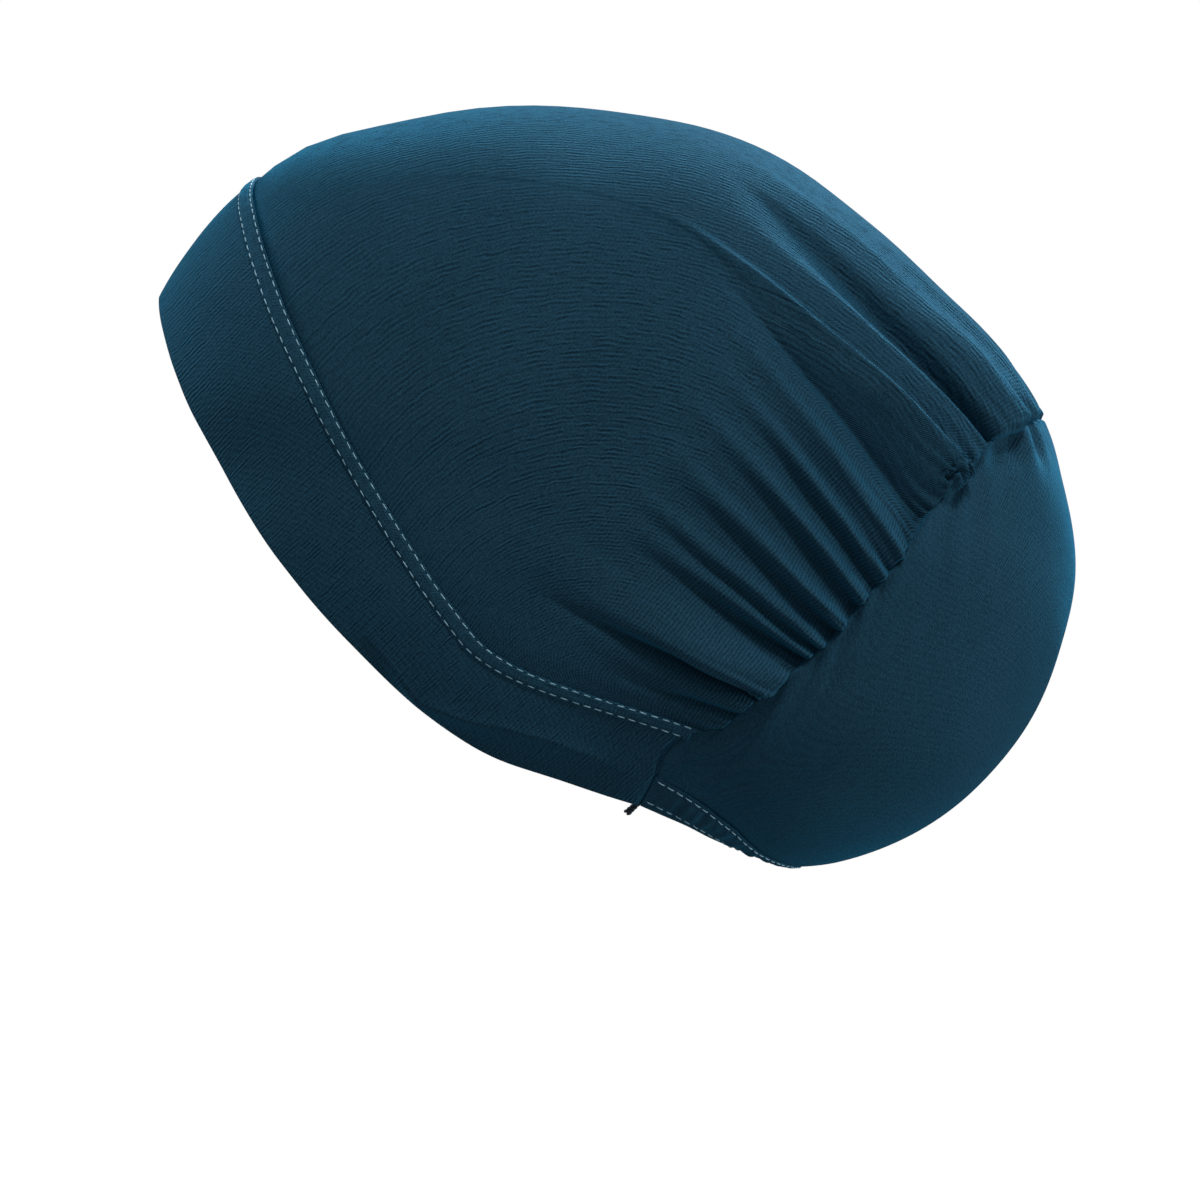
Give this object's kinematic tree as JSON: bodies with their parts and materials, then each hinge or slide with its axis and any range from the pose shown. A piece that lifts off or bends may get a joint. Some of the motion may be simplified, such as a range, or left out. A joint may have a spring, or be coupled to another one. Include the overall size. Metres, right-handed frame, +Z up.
{
  "type": "sleep cap",
  "caption": "Slouchy jersey sleep cap with a double front band, a crown gathered into a smooth back pouch, and an elastic nape casing; hollow and open for the head.",
  "frame": {"origin": "inside the top of the crown, where the wearer's head bears", "axes": "+Z up, +Y to the pouch at the back of the head, -Y to the forehead, +X to the wearer's left"},
  "size_m": [0.1603, 0.2759, 0.2296],
  "materials": {
    "crown_jersey": "fine single jersey knit, dark teal blue, soft matt sheen",
    "band_jersey": "two layers of fine jersey knit, dark teal blue, matt",
    "seam_jersey": "pressed seam strip of jersey with twin topstitching in a lighter thread",
    "back_jersey": "fine single jersey knit, dark teal blue, soft matt sheen",
    "casing_jersey": "scrunched jersey casing with topstitching in a lighter thread",
    "overlock_thread": "short clipped tail of overlock thread, dark"
  },
  "bodies": {
    "root": {"crown": "crown_jersey", "front_band": "band_jersey", "front_seam": "seam_jersey", "back_panel": "back_jersey", "nape_casing": "casing_jersey", "seam_tail": "overlock_thread"}
  },
  "joints": []
}
